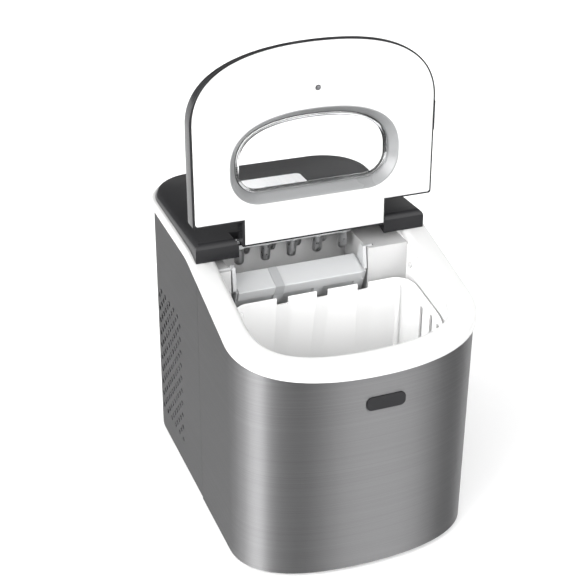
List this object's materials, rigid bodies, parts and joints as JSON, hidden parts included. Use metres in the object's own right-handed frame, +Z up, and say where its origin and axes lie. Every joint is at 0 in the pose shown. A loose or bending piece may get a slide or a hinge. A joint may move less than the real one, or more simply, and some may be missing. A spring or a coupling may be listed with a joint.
{
  "type": "countertop ice maker",
  "caption": "Countertop ice maker with brushed steel body, white rim, black rear control housing, hinged lid with window, tilting ice tray and lift-out basket.",
  "frame": {"origin": "bottom centre of the machine, where its feet stand", "axes": "+Z up, -Y towards the front of the machine, +X to the right seen from the front"},
  "size_m": [0.2476, 0.3486, 0.4777],
  "materials": {
    "brushed_steel": "horizontal brushed, satin",
    "white_plastic": "smooth satin-gloss moulding",
    "tray_plastic": "smooth satin moulding",
    "black_gloss": "polished",
    "window_clear": "clear polished moulding",
    "seal_rubber": "matte",
    "panel_silver": "fine satin",
    "bright_metal": "bright nickel plate",
    "dark_plastic": "fine matte texture",
    "copper_pipe": "drawn copper tube",
    "black_enamel": "semi-gloss enamel",
    "mill_aluminium": "mill finish",
    "circuit_board": "solder mask",
    "clear_hose": "translucent flexible hose"
  },
  "bodies": {
    "cabinet": {"front_wrap": "brushed_steel", "rear_wrap": "brushed_steel", "top_rim": "white_plastic", "inner_tub": "white_plastic", "tray_bearing": "white_plastic", "tray_gearbox": "white_plastic", "ice_sensor_left": "white_plastic", "ice_sensor_right": "white_plastic", "drain_fitting": "white_plastic", "control_housing": "black_gloss", "front_badge": "black_gloss", "indicator_power": "window_clear", "indicator_add_water": "window_clear", "indicator_ice_full": "window_clear", "indicator_run": "window_clear", "foot_front_left": "seal_rubber", "foot_front_right": "seal_rubber", "foot_rear_left": "seal_rubber", "foot_rear_right": "seal_rubber", "cord_gland": "seal_rubber", "control_plate": "panel_silver", "evaporator": "bright_metal", "power_button_spring": "bright_metal", "select_button_spring": "bright_metal", "rear_screw_1": "bright_metal", "rear_screw_2": "bright_metal", "rear_screw_3": "bright_metal", "rear_screw_4": "bright_metal", "base_pan": "dark_plastic", "water_level_float": "dark_plastic", "fan_shroud": "dark_plastic", "water_pump": "dark_plastic", "filter_drier": "copper_pipe", "discharge_pipe": "copper_pipe", "suction_pipe": "copper_pipe", "compressor": "black_enamel", "condenser": "mill_aluminium", "fan_motor": "mill_aluminium", "fan_motor_bracket": "mill_aluminium", "control_board": "circuit_board", "pump_hose": "clear_hose", "drain_hose": "clear_hose"},
    "lid": {"lid_shell": "black_gloss", "lid_liner": "white_plastic", "window_gasket": "seal_rubber", "lid_window": "window_clear", "lid_screw": "bright_metal", "hinge_pin_left": "bright_metal", "hinge_pin_right": "bright_metal"},
    "power_button": {"power_button": "panel_silver"},
    "select_button": {"select_button": "panel_silver"},
    "water_tray": {"water_tray": "tray_plastic", "ice_chute": "tray_plastic"},
    "ice_basket": {"ice_basket": "white_plastic"},
    "condenser_fan": {"condenser_fan": "dark_plastic"},
    "drain_plug": {"drain_plug": "seal_rubber"}
  },
  "joints": [
    {"name": "lid_hinge", "type": "hinge", "parent": "cabinet", "child": "lid", "pos_m": [0, -0.0075, 0.28636], "axis": [1, 0, 0], "range_deg": [0, 107.5]},
    {"name": "power_button_press", "type": "slide", "parent": "cabinet", "child": "power_button", "axis": [0, 0, -1], "range_m": [0, 0.0012], "stiffness_N_per_m": 800},
    {"name": "select_button_press", "type": "slide", "parent": "cabinet", "child": "select_button", "axis": [0, 0, -1], "range_m": [0, 0.0012], "stiffness_N_per_m": 800},
    {"name": "tray_tilt", "type": "hinge", "parent": "cabinet", "child": "water_tray", "pos_m": [0, -0.014, 0.262], "axis": [1, 0, 0], "range_deg": [0, 68]},
    {"name": "basket_lift", "type": "slide", "parent": "cabinet", "child": "ice_basket", "axis": [0, 0, 1], "range_m": [0, 0.16]},
    {"name": "fan_spin", "type": "hinge", "parent": "cabinet", "child": "condenser_fan", "pos_m": [0.0695, 0.11, 0.08], "axis": [1, 0, 0], "continuous": true},
    {"name": "drain_plug_pull", "type": "slide", "parent": "cabinet", "child": "drain_plug", "axis": [1, 0, 0], "range_m": [0, 0.03]}
  ]
}
